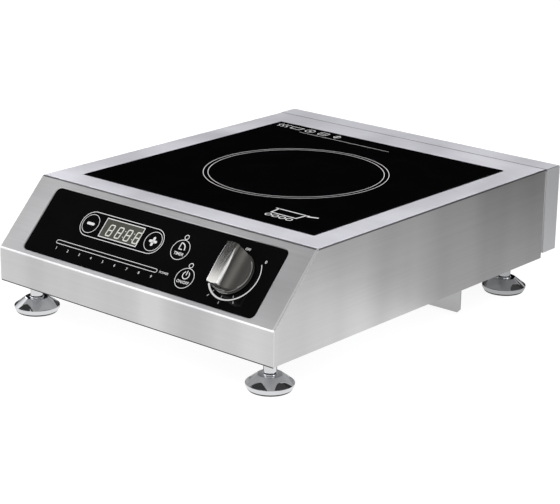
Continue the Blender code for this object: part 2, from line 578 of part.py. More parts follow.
def make_foot(label, x, depth, finishes):
    """A conical foot with six wrench flats, on a stud that screws up through a plain sleeve."""
    axis = at(x, depth, 0)
    profile = [(0, 0), (0.0165, 0), (0.0196, 0.0024), (0.0211, 0.0046), (FOOT_RIM, FOOT_RIM_Z),
               (FOOT_TOP_R, FOOT_TOP_Z), (0, FOOT_TOP_Z)]
    base = piece(f"foot_base_{label}", turned(profile, 24), finishes["chrome"], axis)
    trim = piece(f"tool_flats_{label}", wrench_flats(FOOT_RIM_Z + 0.0001, 0.020), place=axis)
    add(trim, rod(1.4 * FOOT_RIM, -0.010, FOOT_RIM_Z + 0.0002, 12), axis)
    trim.hide_render = True
    trim.display_type = "WIRE"
    keep = base.modifiers.new("wrench flats", "BOOLEAN")
    keep.operation, keep.solver, keep.object = "INTERSECT", "EXACT", trim
    cut(base, rod(0.0043, 0.0047, 0.03, 20), axis)

    stud_low, stud_high = 0.0050, BODY_BOTTOM + 0.0223
    stud = [(0, stud_low), (0.0040, stud_low), (0.0040, stud_high - 0.001), (0.0030, stud_high),
            (0, stud_high)]
    piece(f"foot_stud_{label}", turned(stud, 20), finishes["steel"], axis, base)
    sleeve_low = FOOT_TOP_Z + 0.0013
    piece(f"foot_sleeve_{label}", tube(0.0059, 0.0044, sleeve_low, BODY_BOTTOM - GAP, 20),
          finishes["chrome"], axis)
    nut = piece(f"foot_nut_{label}", prism(polygon(6, 0.0075), TRAY_TOP + GAP, TRAY_TOP + 0.0068),
                finishes["steel"], axis)
    cut(nut, rod(0.0044, TRAY_TOP - 0.01, TRAY_TOP + 0.02, 20), axis)


# ---- the whole object ---------------------------------------------------------------------------
def main():
    for old in list(bpy.data.objects):
        bpy.data.objects.remove(old, do_unlink=True)

    finishes = {
        "steel": material("brushed stainless steel", (0.62, 0.62, 0.64), 1.0, 0.32),
        "glass": material("black ceramic glass", (0.004, 0.004, 0.005), 0.0, 0.04),
        "panel": material("black panel glass", (0.005, 0.005, 0.006), 0.0, 0.08),
        "knob": material("satin knob metal", (0.42, 0.41, 0.39), 1.0, 0.30),
        "chrome": material("chrome", (0.78, 0.79, 0.81), 1.0, 0.07),
        "rubber": material("black silicone", (0.02, 0.02, 0.02), 0.0, 0.6),
        "plastic": material("grey plastic", (0.12, 0.12, 0.12), 0.0, 0.5),
        "black": material("black plastic", (0.02, 0.02, 0.02), 0.0, 0.45),
        "display": material("display", (0.06, 0.06, 0.05), 0.0, 0.3),
        "board": material("circuit board", (0.02, 0.13, 0.05), 0.0, 0.4),
        "zinc": material("zinc plate", (0.6, 0.6, 0.58), 1.0, 0.35),
        "mica": material("mica", (0.62, 0.56, 0.42), 0.0, 0.5),
        "copper": material("enamelled copper", (0.48, 0.20, 0.08), 0.8, 0.35),
        "ferrite": material("ferrite", (0.05, 0.05, 0.055), 0.0, 0.55),
        "silicone": material("white silicone", (0.75, 0.74, 0.70), 0.0, 0.6),
        "capacitor": material("film capacitor", (0.55, 0.10, 0.06), 0.0, 0.35),
        "aluminium": material("aluminium", (0.70, 0.71, 0.72), 1.0, 0.4),
    }
    make_top_cover(finishes["steel"])
    make_rear_cover(finishes["steel"])
    make_base_tray(finishes["steel"])
    make_air_baffle(finishes["steel"])
    make_screw("rear_screw_left", -REAR_SCREW_X, finishes["zinc"])
    make_screw("rear_screw_right", REAR_SCREW_X, finishes["zinc"])
    make_glass(finishes)
    make_controls(finishes)
    make_coil(finishes)
    make_power(finishes)
    make_fan(finishes)
    make_mains_entry(finishes)
    for row, depth in zip("fr", FOOT_DEPTHS):
        for column, x in (("l", -FOOT_X), ("r", FOOT_X)):
            make_foot(row + column, x, depth, finishes)


main()
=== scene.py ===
"""Looks of a countertop induction hob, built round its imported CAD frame.

Metres, in the CAD's own frame: +X to the user's right, +Y to the rear, +Z up, floor at z = 0.
"""
import json

import bmesh
import bpy
from math import atan2, cos, pi, radians, sin, tan
from mathutils import Matrix, Vector


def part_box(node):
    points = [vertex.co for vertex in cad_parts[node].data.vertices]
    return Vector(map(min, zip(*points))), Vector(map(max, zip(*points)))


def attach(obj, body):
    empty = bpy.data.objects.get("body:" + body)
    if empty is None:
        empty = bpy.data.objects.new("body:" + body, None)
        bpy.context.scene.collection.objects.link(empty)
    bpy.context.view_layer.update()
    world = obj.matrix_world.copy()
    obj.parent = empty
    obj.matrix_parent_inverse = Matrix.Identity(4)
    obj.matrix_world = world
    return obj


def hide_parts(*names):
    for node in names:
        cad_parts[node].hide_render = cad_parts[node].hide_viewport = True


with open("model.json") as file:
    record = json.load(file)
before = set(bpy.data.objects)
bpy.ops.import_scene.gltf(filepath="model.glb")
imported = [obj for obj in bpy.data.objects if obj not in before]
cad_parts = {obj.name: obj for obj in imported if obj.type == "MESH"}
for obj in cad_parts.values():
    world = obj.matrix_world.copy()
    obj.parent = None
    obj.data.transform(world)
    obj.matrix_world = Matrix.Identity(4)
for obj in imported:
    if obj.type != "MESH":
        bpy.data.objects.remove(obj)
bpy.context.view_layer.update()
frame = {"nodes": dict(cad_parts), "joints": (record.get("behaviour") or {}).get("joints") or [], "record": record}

# ---- places read from the frame ----
JOINTS = {joint["name"]: joint for joint in frame["joints"]}
NODE_SLOTS = {part["node"]: part["material_slot"] for part in frame["record"]["subparts"]}
FEET = {"fl": "front_left", "fr": "front_right", "rl": "rear_left", "rr": "rear_right"}
COVER_LOW, COVER_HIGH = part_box("top_cover")
REAR_LOW, REAR_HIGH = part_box("rear_cover")
GLASS_LOW, GLASS_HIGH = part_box("glass_plate")
SHEET = 0.0012                      # thickness of the case steel
PANEL_SUNK = 0.0004                 # panel face below the steel of the fascia
PANEL_WINDOW = (0.2858, 0.0686)     # opening in the fascia for the panel
PANEL_V = 0.0396                    # middle of panel and knob, up the slope from the lower bend
RIGHT_EDGE_HIGHLIGHT_WIDTH = 0.0028                 # width of the painted highlight along the right edge of the fascia
TOUCH = 1e-5                        # points closer than this lie in one place

KNOB_POINT = Vector(JOINTS["knob_turn"]["pos_m"])
OUT = -Vector(JOINTS["knob_turn"]["axis"]).normalized()
SLOPE = atan2(-OUT.y, OUT.z)
TURN_TO_FASCIA = Matrix.Rotation(SLOPE, 4, "X")
UP_SLOPE = TURN_TO_FASCIA @ Vector((0, 1, 0))
FASCIA_ORIGIN = KNOB_POINT - Vector((KNOB_POINT.x, 0, 0)) - PANEL_V * UP_SLOPE + PANEL_SUNK * OUT
FASCIA = Matrix.Translation(FASCIA_ORIGIN) @ TURN_TO_FASCIA
PANEL_FACE = FASCIA @ Matrix.Translation((0, 0, -PANEL_SUNK))
KNOB_FRAME = Matrix.Translation(KNOB_POINT) @ TURN_TO_FASCIA
APRON_TOP = FASCIA_ORIGIN.z
FASCIA_DEPTH = (COVER_HIGH.z - APRON_TOP) / tan(SLOPE)
ALONG_Y = Matrix.Rotation(-pi / 2, 4, "X")      # turns +Z to +Y
UPRIGHT = Matrix.Rotation(pi / 2, 4, "X")       # stands an outline up, its Y along +Z
REAR_FACE = Matrix.Translation((0, REAR_HIGH.y, 0)) @ UPRIGHT


def middle_of(name):
    """The middle of a node's box."""
    low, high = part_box(name)
    return (low + high) / 2


def new_object(name, data):
    obj = bpy.data.objects.new(name, data)
    bpy.context.scene.collection.objects.link(obj)
    return obj


# ---- shader nodes ----
def grey(level):
    return level, level, level, 1


def scaled(colour, level):
    return (*(part * level for part in colour), 1)


class Graph:
    """The shader nodes of one world or material."""

    def __init__(self, owner):
        owner.use_nodes = True
        self.nodes, self.link = owner.node_tree.nodes, owner.node_tree.links.new

    def feed(self, socket, value):
        """Links a socket to another one, or sets it to a constant."""
        if isinstance(value, bpy.types.NodeSocket):
            self.link(value, socket)
        else:
            socket.default_value = value

    def add(self, kind, output, inputs=None, **settings):
        """Makes a node with its settings and inputs, and returns one of its outputs."""
        node = self.nodes.new("ShaderNode" + kind)
        for setting, value in settings.items():
            setattr(node, setting, value)
        for key, value in (inputs or {}).items():
            self.feed(node.inputs[key], value)
        return node.outputs[output]

    def split(self, vector):
        """The outputs X, Y and Z of a vector."""
        return self.add("SeparateXYZ", "X", {0: vector}).node.outputs

    def calculate(self, operation, first, second=0.0):
        return self.add("Math", 0, {0: first, 1: second}, operation=operation)

    def within(self, value, low, high):
        """1 between two limits and 0 elsewhere."""
        return self.calculate("MULTIPLY", self.calculate("GREATER_THAN", value, low),
                              self.calculate("LESS_THAN", value, high))

    def remap(self, source, low, high, source_low=0.3, source_high=0.7, interpolation="LINEAR"):
        ranges = {"Value": source, "From Min": source_low, "From Max": source_high, "To Min": low,
                  "To Max": high}
        return self.add("MapRange", "Result", ranges, interpolation_type=interpolation)

    def mix(self, factor, first, second):
        """One value over another."""
        return self.add("Mix", "Result", {"Factor": factor, "A": first, "B": second})

    def blend(self, factor, under, over):
        """One colour over another. A mix node's sockets 6, 7 and its output 2 are colours."""
        return self.add("Mix", 2, {"Factor": factor, 6: under, 7: over}, data_type="RGBA")

    def ramp(self, source, stops, interpolation="LINEAR"):
        """Colours that follow a value. Each stop has its place and its colour."""
        colour = self.add("ValToRGB", "Color", {"Fac": source})
        bands = colour.node.color_ramp
        bands.interpolation = interpolation
        bands.elements[0].position, bands.elements[1].position = stops[0][0], stops[-1][0]
        for place, _ in stops[1:-1]:
            bands.elements.new(place)
        for element, (_, tone) in zip(bands.elements, stops):
            element.color = tone
        return colour


# ---- stage: camera, light and floor ----
# The studio in polished surfaces: (height of the direction, level) from the horizon to overhead.
STUDIO_TINT = (0.985, 0.985, 1.0)
STUDIO_LEVELS = ((0.00, 0.55), (0.16, 0.42), (0.36, 0.75), (0.52, 1.00), (0.82, 0.75), (1.0, 0.45))

# Its cards: direction, degrees from a card's middle to where it fades and to where it ends, level
# and, if not the usual 1.01, its blue against its level.
CARDS = (((-0.66, 0.59, 0.47), 14, 28, 2.65, 1.08),       # softbox behind the left, for the top
         ((-0.66, -0.66, 0.40), 8, 20, 2.05),             # softbox at the left front, for the fascia
         ((-0.66, -0.73, 0.16), 5, 12, 2.10),             # low softbox at the left front
         ((0.94, 0.065, 0.32), 6, 14, 2.20),              # small softbox at the right, for the knob
         ((0.32, 0.70, 0.63), 24, 36, 0.03),              # dark cards from here on
         ((0.35, -0.42, 0.84), 20, 36, 0.20),
         ((-0.86, 0.47, 0.10), 7, 15, 0.06),
         ((-0.32, 0.93, 0.10), 7, 15, 0.06),
         ((0.74, -0.25, 0.63), 12, 24, 0.22),
         ((-0.615, 0.725, 0.26), 9, 14, 0.0),
         ((-0.60, -0.28, 0.75), 10, 18, 0.04),
         ((-0.62, 0.16, 0.77), 12, 20, 0.03),
         ((-0.41, -0.40, 0.82), 9, 16, 0.04),
         ((0.44, 0.35, 0.83), 10, 18, 0.05),
         ((-0.62, -0.53, 0.58), 4, 10, 2.40))             # small lamp for the knob's lower end

# The mirrored floor from front to rear: (y, level).
FLOOR_LEVELS = ((-0.60, 0.72), (-0.30, 0.84), (0.0, 0.90), (0.10, 0.47), (0.20, 0.45), (0.30, 0.40),
                (0.42, 0.28), (0.52, 0.15))
FLOOR_START, FLOOR_END = -0.60, 0.60        # y at the ends of its range
FOOT_SHADOW_PATCH = Vector((-0.034, 0.040, 0))     # from a foot to the painted shadow patch behind it

# Lamps: name, place, size and power. All aim at the hob.
LAMPS = (("overhead", (0.1, -0.2, 1.9), (1.6, 1.2), 5.0),
         ("rear_left", (-1.3, 1.5, 1.5), (1.8, 1.2), 5.0),
         ("front_right", (1.7, -0.6, 1.1), (0.9, 0.9), 2.0))


def make_camera():
    """A long lens from the front right, a little above the hob."""
    azimuth, elevation, roll = radians(40.30), radians(17.87), radians(0.90)
    target, distance = Vector((-0.0117, -0.0009, 0.0415)), 1.842
    back = Vector((sin(azimuth) * cos(elevation), -cos(azimuth) * cos(elevation), sin(elevation)))
    right = (-back).cross(Vector((0, 0, 1))).normalized()
    up = right.cross(-back)
    axis_x = right * cos(roll) + up * sin(roll)
    axis_y = -right * sin(roll) + up * cos(roll)
    data = bpy.data.cameras.new("camera")
    data.lens = 121.33
    data.clip_start = 0.05
    camera = new_object("camera", data)
    camera.matrix_world = (Matrix.Translation(target + back * distance)
                           @ Matrix((axis_x, axis_y, back)).transposed().to_4x4())
    bpy.context.scene.camera = camera


def make_lamp(name, place, size, power):
    """A soft lamp that polished surfaces don't mirror."""
    data = bpy.data.lights.new(name, "AREA")
    data.shape = "RECTANGLE"
    data.size, data.size_y = size
    data.energy = power
    lamp = new_object(name, data)
    aim = Vector((0, 0, 0.1)) - Vector(place)
    lamp.matrix_world = Matrix.Translation(place) @ aim.to_track_quat("-Z", "Y").to_matrix().to_4x4()
    lamp.visible_glossy = False


def with_card(graph, towards, below, centre, full, fade, level, blue=1.01):
    """Blends a round card of one brightness over what lies behind it. Angles in degrees."""
    cosine = graph.add("VectorMath", "Value", {0: towards, 1: Vector(centre).normalized()},
                       operation="DOT_PRODUCT")
    inside = graph.remap(cosine, 0, 1, cos(radians(fade)), cos(radians(full)), "SMOOTHSTEP")
    return graph.blend(inside, below, (level, level, level * blue, 1))


def make_world():
    """An even white room for soft light, and the studio that polished surfaces mirror: dark low
    down, bright overhead, with dark cards that keep the glass black and a few softboxes."""
    world = bpy.data.worlds.new("studio")
    bpy.context.scene.world = world
    graph = Graph(world)
    graph.nodes.clear()
    towards = graph.add("TexCoord", "Generated")
    seen = graph.ramp(graph.split(towards)["Z"],
                      [(height, scaled(STUDIO_TINT, level)) for height, level in STUDIO_LEVELS])
    for card in CARDS:
        seen = with_card(graph, towards, seen, *card)
    room = graph.add("Background", 0, {"Color": grey(1.0), "Strength": 1.0})
    mirrored = graph.add("Background", 0, {"Color": seen})
    glossy = graph.add("LightPath", "Is Glossy Ray")
    surface = graph.add("MixShader", 0, {"Fac": glossy, 1: room, 2: mirrored})
    output = graph.nodes.new("ShaderNodeOutputWorld")
    graph.link(surface, output.inputs["Surface"])


def make_plane(name, height):
    """A wide level plane of the stage, with a material of its own. Returns it and its nodes."""
    reach = 12.0
    mesh = bpy.data.meshes.new(name)
    corners = [(x * reach, y * reach, height) for x, y in ((-1, -1), (1, -1), (1, 1), (-1, 1))]
    mesh.from_pydata(corners, [], [(0, 1, 2, 3)])
    plane = new_object(name, mesh)
    mat = bpy.data.materials.new(name)
    mesh.materials.append(mat)
    return plane, Graph(mat)


def make_floor():
    """A pale floor for the eye, which polished surfaces don't mirror."""
    plane, graph = make_plane("floor", 0.0)
    plane.visible_glossy = False
    shader = graph.nodes["Principled BSDF"]
    for socket, value in (("Base Color", grey(0.22)), ("Roughness", 0.9), ("Specular IOR Level", 0.0),
                          ("Emission Color", grey(1.0)), ("Emission Strength", 0.90)):
        shader.inputs[socket].default_value = value


def make_mirrored_floor():
    """The card under the floor that polished metal mirrors, with a painted shadow behind each foot, standing in
    for the shade under the hob.
    """
    plane, graph = make_plane("mirrored_floor", -0.0005)
    plane.visible_camera = plane.visible_diffuse = plane.visible_shadow = False
    place = graph.add("TexCoord", "Object")
    rearward = graph.remap(graph.split(place)["Y"], 0, 1, FLOOR_START, FLOOR_END)
    stops = [((y - FLOOR_START) / (FLOOR_END - FLOOR_START), grey(level)) for y, level in FLOOR_LEVELS]
    lit = graph.ramp(rearward, stops, "EASE")
    clear = 1.0
    for label in FEET:
        shadow_patch = middle_of(f"foot_base_{label}") + FOOT_SHADOW_PATCH
        ends = {0: place, 1: (shadow_patch.x, shadow_patch.y, 0)}
        away = graph.add("VectorMath", "Value", ends, operation="DISTANCE")
        clear = graph.calculate("MINIMUM", clear, graph.remap(away, 0, 1, 0.040, 0.056, "SMOOTHSTEP"))
    # painted shadow: the card goes dark round each patch
    glow = graph.add("Emission", 0, {"Color": graph.blend(clear, (0.05, 0.055, 0.065, 1), lit)})
    graph.link(glow, graph.nodes["Material Output"].inputs["Surface"])


# ---- materials ----
class Finish(Graph):
    """A Principled material whose colour, roughness and bump can follow procedural patterns."""

    def __init__(self, name, colour, metallic, roughness, specular=0.5):
        self.mat = bpy.data.materials.new(name)
        super().__init__(self.mat)
        self.colour = colour
        for socket, value in (("Base Color", (*colour, 1)), ("Metallic", metallic),
                              ("Roughness", roughness), ("Specular IOR Level", specular)):
            self.drive(socket, value)
        self.place = self.add("TexCoord", "Object")

    def drive(self, socket, value):
        self.feed(self.nodes["Principled BSDF"].inputs[socket], value)

    def noise(self, scale, detail=3.0, stretch=(1, 1, 1)):
        """Noise in metres, stretched by an axis-wise factor."""
        stretched = self.add("Mapping", "Vector", {"Vector": self.place, "Scale": stretch})
        return self.add("TexNoise", "Fac", {"Vector": stretched, "Scale": scale, "Detail": detail})

    def shades(self, factor, low, high):
        """The finish's own colour, times a level that runs from low to high."""
        return self.blend(factor, scaled(self.colour, low), scaled(self.colour, high))

    def bump(self, source, strength, distance):
        bumps = {"Height": source, "Strength": strength, "Distance": distance}
        self.drive("Normal", self.add("Bump", "Normal", bumps))


def bend_mask(finish, normal, place):
    """1 on the bends round the top face, where the colour is darkened as painted shade, standing in for the dark
    lines that the bends mirror. Those at the sides get darker from front to rear."""
    x = finish.calculate("ABSOLUTE", normal["X"])
    y = finish.calculate("ABSOLUTE", normal["Y"])
    side_bend = finish.calculate("MULTIPLY", finish.within(x, 0.20, 0.97), finish.within(y, -1.0, 0.25))
    side_bend = finish.calculate("MULTIPLY", side_bend, finish.within(normal["Z"], 0.20, 2.0))
    rearward = finish.remap(place["Y"], 0.45, 1.0, COVER_LOW.y, COVER_HIGH.y - 0.10)
    side_bend = finish.calculate("MULTIPLY", side_bend, rearward)
    front_bend = finish.calculate("MULTIPLY", finish.within(normal["Z"], 0.75, 0.985),
                                  finish.within(x, -1.0, 0.20))
    return finish.calculate("MAXIMUM", side_bend, front_bend)


def weld_mask(finish, normal, place):
    """1 along the right edge of the fascia, where the colour is lightened as a painted highlight; the left edge
    gets none.
    """
    corner = finish.calculate("GREATER_THAN", place["X"], COVER_HIGH.x - RIGHT_EDGE_HIGHLIGHT_WIDTH)
    return finish.calculate("MULTIPLY", corner, finish.within(normal["Y"], -0.9, -0.3))


def brushed(name, colour, roughness, metallic=1.0, upright=False, side_highlight_colour=None):
    """Sheet steel brushed left to right, and front to back (or upright) on faces that look
    sideways. Wide soft bands run down the faces, as the rolled sheet shows them."""
    across, along = 420.0, 5.0
    finish = Finish(name, colour, metallic, roughness)
    wide = finish.noise(1.0, 4.0, (along, across, across))
    side = finish.noise(1.0, 4.0, (across, across, along) if upright else (across, along, across))
    bands = finish.noise(1.0, 1.5, (17, 17, 2.0))
    normal = finish.split(finish.add("NewGeometry", "Normal"))
    place = finish.split(finish.place)
    sideways = finish.calculate("GREATER_THAN", finish.calculate("ABSOLUTE", normal["X"]), 0.6)
    grain = finish.mix(sideways, wide, side)
    streaks = finish.remap(finish.mix(0.16, bands, grain), 0, 1, 0.35, 0.65)
    tone = finish.shades(streaks, 0.88, 1.12)
    # painted shade: the bends take a much darker colour, standing in for dark reflections
    tone = finish.blend(bend_mask(finish, normal, place), tone, scaled(colour, 0.32))
    # painted highlight: a lighter colour along the right edge of the fascia
    painted_highlight = (*(min(1.30 * part, 0.95) for part in colour), 1)
    tone = finish.blend(weld_mask(finish, normal, place), tone, painted_highlight)
    # painted highlight: faces that look sideways take a lighter colour of their own
    if side_highlight_colour:
        tone = finish.blend(sideways, tone, (*side_highlight_colour, 1))
    finish.drive("Base Color", tone)
    finish.drive("Roughness", finish.remap(grain, roughness - 0.02, roughness + 0.02))
    finish.bump(grain, 0.09, 0.00002)
    return finish.mat


def plain(name, colour, roughness, metallic=0.0, specular=0.5, grain=900.0, depth=0.00003, spread=0.08):
    """Moulded, cast or plated surface with a fine grain and slightly uneven gloss."""
    finish = Finish(name, colour, metallic, roughness, specular)
    cloud = finish.noise(35.0)
    finish.drive("Base Color", finish.shades(finish.remap(cloud, 0, 1), 1 - spread, 1 + spread))
    finish.drive("Roughness", finish.remap(cloud, max(roughness - 0.04, 0.02), roughness + 0.05))
    finish.bump(finish.noise(grain), 0.25, depth)
    return finish.mat


def brushed_knob():
    """Knob metal, brushed along the grip bar, with painted highlights in a bright wedge down the bar's edge and a
    bright band round the rim, and painted shade in the dishes. The pattern is laid out in the knob's own axes."""
    bar_half, dish_half, dish_top, rim_r = 0.00525, 0.0060, 0.0196, 0.0199
    painted_dish_shade_colour, painted_highlight_colour = (0.180, 0.173, 0.160, 1), (0.95, 0.94, 0.92, 1)
    finish = Finish("brushed_knob_metal", (0.50, 0.49, 0.47), 1.0, 0.24)
    calculate = finish.calculate
    to_knob = {"Vector": finish.place, "Location": -(TURN_TO_FASCIA.inverted() @ KNOB_POINT),
               "Rotation": (-SLOPE, 0, 0)}
    finish.place = finish.add("Mapping", "Vector", to_knob)
    grain = finish.noise(1.0, 2.0, (1300, 60, 1300))
    x, y, z = finish.split(finish.place)
    side = calculate("ABSOLUTE", x)
    above = calculate("SUBTRACT", z, calculate("MULTIPLY", y, 0.12))
    highlight_wedge = calculate("MULTIPLY", calculate("GREATER_THAN", side, bar_half),
                      calculate("GREATER_THAN", above, dish_top))
    dish = calculate("MULTIPLY", calculate("GREATER_THAN", side, dish_half),
                     calculate("LESS_THAN", above, dish_top))
    axis_squared = calculate("ADD", calculate("MULTIPLY", x, x), calculate("MULTIPLY", y, y))
    outside = calculate("GREATER_THAN", calculate("SQRT", axis_squared), rim_r)
    painted_highlight = calculate("MAXIMUM", highlight_wedge, calculate("MULTIPLY", outside, finish.within(z, 0.0045, 0.0058)))

    tone = finish.shades(finish.remap(grain, 0, 1), 0.92, 1.08)
    # painted highlight and painted shade: bright wedge and rim band, dark dishes
    finish.drive("Base Color", finish.blend(painted_highlight, finish.blend(dish, tone, painted_dish_shade_colour), painted_highlight_colour))
    dull = finish.mix(dish, finish.remap(grain, 0.20, 0.28), 0.46)
    finish.drive("Roughness", finish.mix(painted_highlight, dull, 0.36))
    finish.bump(grain, 0.12, 0.00001)
    return finish.mat


def make_finishes():
    """One finish for each of the record's material slots, and those that only the looks need."""
    return {
        "case_steel": brushed("brushed_case_steel", (0.70, 0.695, 0.70), 0.36),
        # painted highlight: its sides get a lighter colour than its rear face
        "rear_steel": brushed("brushed_rear_steel", (0.55, 0.55, 0.56), 0.42, 0.8, upright=True,
                              side_highlight_colour=(0.76, 0.765, 0.78)),
        # painted shade: darker than the case steel, for the shade under the hob where the plate hangs
        "painted_shade_baffle_steel": brushed("brushed_baffle_steel", (0.52, 0.52, 0.525), 0.36),
        # duller galvanised steel, whose colour is also darkened as painted shade so that the chrome feet mirror
        # the shade under the hob
        "tray_steel": brushed("dull_tray_steel", (0.50, 0.50, 0.505), 0.45),
        "bracket_steel": brushed("plated_bracket_steel", (0.52, 0.53, 0.54), 0.42),
        "hob_glass": plain("black_ceramic_glass", (0.0015, 0.0015, 0.0018), 0.03, 0.0, 0.12, 1400, 2e-6),
        "panel_glass": plain("black_panel_glass", (0.003, 0.003, 0.0033), 0.05, 0.0, 0.12, 1400, 2e-6),
        "seal": plain("black_silicone", (0.02, 0.02, 0.02), 0.62),
        "carrier_plastic": plain("grey_plastic", (0.10, 0.10, 0.10), 0.5),
        "display_plastic": plain("smoked_display", (0.055, 0.055, 0.045), 0.25),
        "circuit_board": plain("green_board", (0.015, 0.11, 0.04), 0.35),
        "plated_metal": plain("zinc_plate", (0.58, 0.58, 0.55), 0.32, 1.0),
        "knob_metal": brushed_knob(),
        "mica": plain("mica_laminate", (0.55, 0.49, 0.36), 0.5, spread=0.2),
        "winding": plain("enamelled_copper", (0.50, 0.19, 0.07), 0.32, 0.9, grain=2500, depth=0.0001),
        "ferrite": plain("sintered_ferrite", (0.045, 0.045, 0.05), 0.55, 0.1),
        "silicone": plain("white_silicone", (0.72, 0.71, 0.67), 0.6),
        "black_plastic": plain("black_plastic", (0.018, 0.018, 0.019), 0.42),
        "capacitor_case": plain("epoxy_case", (0.45, 0.08, 0.05), 0.35),
        "sink_aluminium": plain("extruded_aluminium", (0.66, 0.67, 0.68), 0.38, 1.0),
        "foot_chrome": plain("bright_chrome", (0.80, 0.81, 0.83), 0.05, 1.0, 0.5, 300, 2e-6, 0.03),
        "print": plain("white_print", (0.70, 0.70, 0.70), 0.45, spread=0.05),
        "dim_print": plain("grey_print", (0.40, 0.40, 0.41), 0.45, spread=0.05),
        "digit": plain("display_segments", (0.62, 0.64, 0.58), 0.4, spread=0.04),
    }


# ---- shapes: each returns (vertices, faces) ----
def block(low, high):
    verts = [(x, y, z) for z in (low[2], high[2]) for y in (low[1], high[1]) for x in (low[0], high[0])]
    return verts, [(0, 1, 3, 2), (4, 5, 7, 6), (0, 1, 5, 4), (2, 3, 7, 6), (0, 2, 6, 4), (1, 3, 7, 5)]


def prism_faces(count):
    """Faces between two outlines with the same number of points."""
    sides = [(i, (i + 1) % count, (i + 1) % count + count, i + count) for i in range(count)]
    return [tuple(range(count)), tuple(range(count, 2 * count)), *sides]


def prism(outline, low, high):
    """An outline in X and Y, carried from z = low to z = high."""
    return [(x, y, z) for z in (low, high) for x, y in outline], prism_faces(len(outline))


def side_prism(outline, low, high):
    """An outline in Y and Z, carried from x = low to x = high."""
    return [(x, y, z) for x in (low, high) for y, z in outline], prism_faces(len(outline))


def turned(profile, segments):
    """(radius, z) points turned about Z. Without a point on the axis the shape is a ring."""
    verts, rings = [], []
    for radius, z in profile:
        steps = 1 if radius == 0 else segments
        rings.append([len(verts) + k for k in range(steps)])
        verts += [(x, y, z) for x, y in polygon(steps, radius)]
    pairs = list(zip(rings, rings[1:]))
    if profile[0][0] > 0:
        pairs.append((rings[-1], rings[0]))
    faces = []
    for first, second in pairs:
        for k in range(segments):
            here = [first[k % len(first)], first[(k + 1) % len(first)]]
            there = [second[(k + 1) % len(second)], second[k % len(second)]]
            face = list(dict.fromkeys(here + there))
            if len(face) > 2:
                faces.append(tuple(face))
    return verts, faces


def rod(radius, low, high, segments):
    return turned([(0, low), (radius, low), (radius, high), (0, high)], segments)


def polygon(sides, radius, centre=(0, 0), phase=0.0):
    return [polar(centre, radius, phase + 360 * k / sides) for k in range(sides)]


def rectangle(low, high):
    return [low, (high[0], low[1]), high, (low[0], high[1])]


def rounded_rectangle(size_x, size_y, radius, steps, centre=(0, 0)):
    points = []
    for quarter, (sx, sy) in enumerate(((1, 1), (-1, 1), (-1, -1), (1, -1))):
        corner = (centre[0] + sx * (size_x / 2 - radius), centre[1] + sy * (size_y / 2 - radius))
        points += arc(corner, radius, quarter * 90, quarter * 90 + 90, steps)
    return points


def polar(centre, radius, degrees):
    """The point at an angle counted anticlockwise from +X."""
    return centre[0] + radius * cos(radians(degrees)), centre[1] + radius * sin(radians(degrees))


def arc(centre, radius, start, end, steps):
    return [polar(centre, radius, start + (end - start) * k / steps) for k in range(steps + 1)]


def stadium(left, right, y, radius, steps):
    """Outline of a bar with round ends."""
    return arc((right, y), radius, -90, 90, steps) + arc((left, y), radius, 90, 270, steps)


def several(shapes):
    verts, faces = [], []
    for more_verts, more_faces in shapes:
        start = len(verts)
        verts += more_verts
        faces += [tuple(start + i for i in face) for face in more_faces]
    return verts, faces


def placed(shape, place):
    """A shape moved to a frame."""
    return [tuple(place @ Vector(v)) for v in shape[0]], shape[1]


# ---- pieces ----
def piece(name, shape, place=Matrix()):
    """A mesh object at the origin whose vertices are already in their place."""
    mesh = bpy.data.meshes.new(name)
    verts, faces = placed(shape, place)
    mesh.from_pydata(verts, [], faces)
    form = bmesh.new()
    form.from_mesh(mesh)
    bmesh.ops.recalc_face_normals(form, faces=form.faces)
    form.to_mesh(mesh)
    form.free()
    return new_object(name, mesh)


def applied(obj):
    """Turns the object's modifiers into its mesh."""
    graph = bpy.context.evaluated_depsgraph_get()
    mesh = bpy.data.meshes.new_from_object(obj.evaluated_get(graph))
    obj.modifiers.clear()
    old, obj.data = obj.data, mesh
    bpy.data.meshes.remove(old)


def combine(obj, tool, operation):
    """Cuts a piece by a tool, joins them or keeps what they share. The tool is used up."""
    change = obj.modifiers.new("carve", "BOOLEAN")
    change.operation, change.solver, change.object = operation, "EXACT", tool
    applied(obj)
    bpy.data.objects.remove(tool, do_unlink=True)


def carve(obj, shape, place=Matrix(), operation="DIFFERENCE"):
    combine(obj, piece("tool", shape, place), operation)


def soften(obj, width, segments, wanted, sharp=1.0, into=Matrix()):
    """Rounds the edges with more than an angle between their faces, where wanted(a, b) holds for
    their two ends. The ends are in another frame where one is given."""
    form = bmesh.new()
    form.from_mesh(obj.data)
    edges = [edge for edge in form.edges if len(edge.link_faces) == 2 and edge.calc_face_angle() > sharp
             and wanted(*(into @ vert.co for vert in edge.verts))]
    bmesh.ops.bevel(form, geom=edges, offset=width, segments=segments, profile=0.5, affect="EDGES",
                    clamp_overlap=True)
    form.to_mesh(obj.data)
    form.free()


def soften_rim(obj, width, segments, plane, low, high):
    """Rounds the edges that lie in a frame's X and Y plane, between two of its corners."""
    def in_plane(a, b):
        return all(abs(end.z) < TOUCH and low[0] < end.x < high[0] and low[1] < end.y < high[1]
                   for end in (a, b))

    soften(obj, width, segments, in_plane, into=plane.inverted())


def finished(obj, finish, body, slot, *replaced, sharp=32):
    """Shades a piece, gives it its finish and fixes it to its body."""
    mesh = obj.data
    mesh.materials.clear()
    mesh.materials.append(FINISHES[finish])
    mesh.polygons.foreach_set("material_index", [0] * len(mesh.polygons))
    mesh.shade_smooth()
    mesh.set_sharp_from_angle(angle=radians(sharp))
    level = obj.modifiers.new("even shading", "WEIGHTED_NORMAL")
    level.keep_sharp = True
    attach(obj, body)
    if replaced:
        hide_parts(*replaced)


